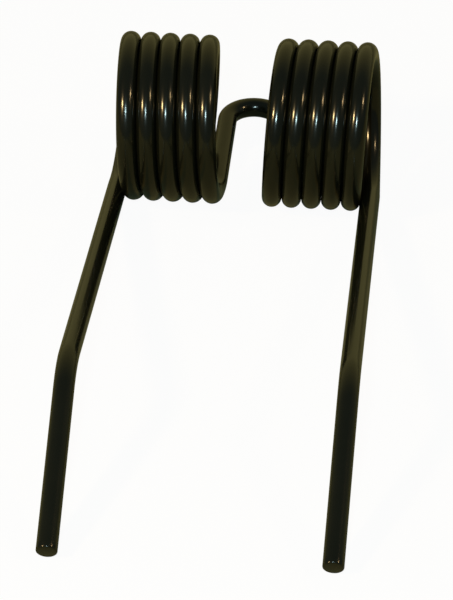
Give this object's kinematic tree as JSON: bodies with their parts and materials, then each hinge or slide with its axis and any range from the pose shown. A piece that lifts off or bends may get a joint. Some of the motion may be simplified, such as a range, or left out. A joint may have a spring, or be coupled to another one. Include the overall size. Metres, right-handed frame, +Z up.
{
  "type": "cultivator spring tine",
  "caption": "Spring tine bent from round steel wire: U-shaped clamp loop between close-wound coils, and long prongs with a knee and square-cut ends.",
  "frame": {"origin": "on the floor the tine lies on, in the middle of its length and width", "axes": "+X along the coils, +Y from the prong tips towards the clamp loop, +Z up, with the loop, both coils and both tips on the floor"},
  "size_m": [0.1442, 0.4066, 0.0875],
  "materials": {
    "black_paint": "gloss"
  },
  "bodies": {
    "root": {"spring_tine": "black_paint"}
  },
  "joints": []
}
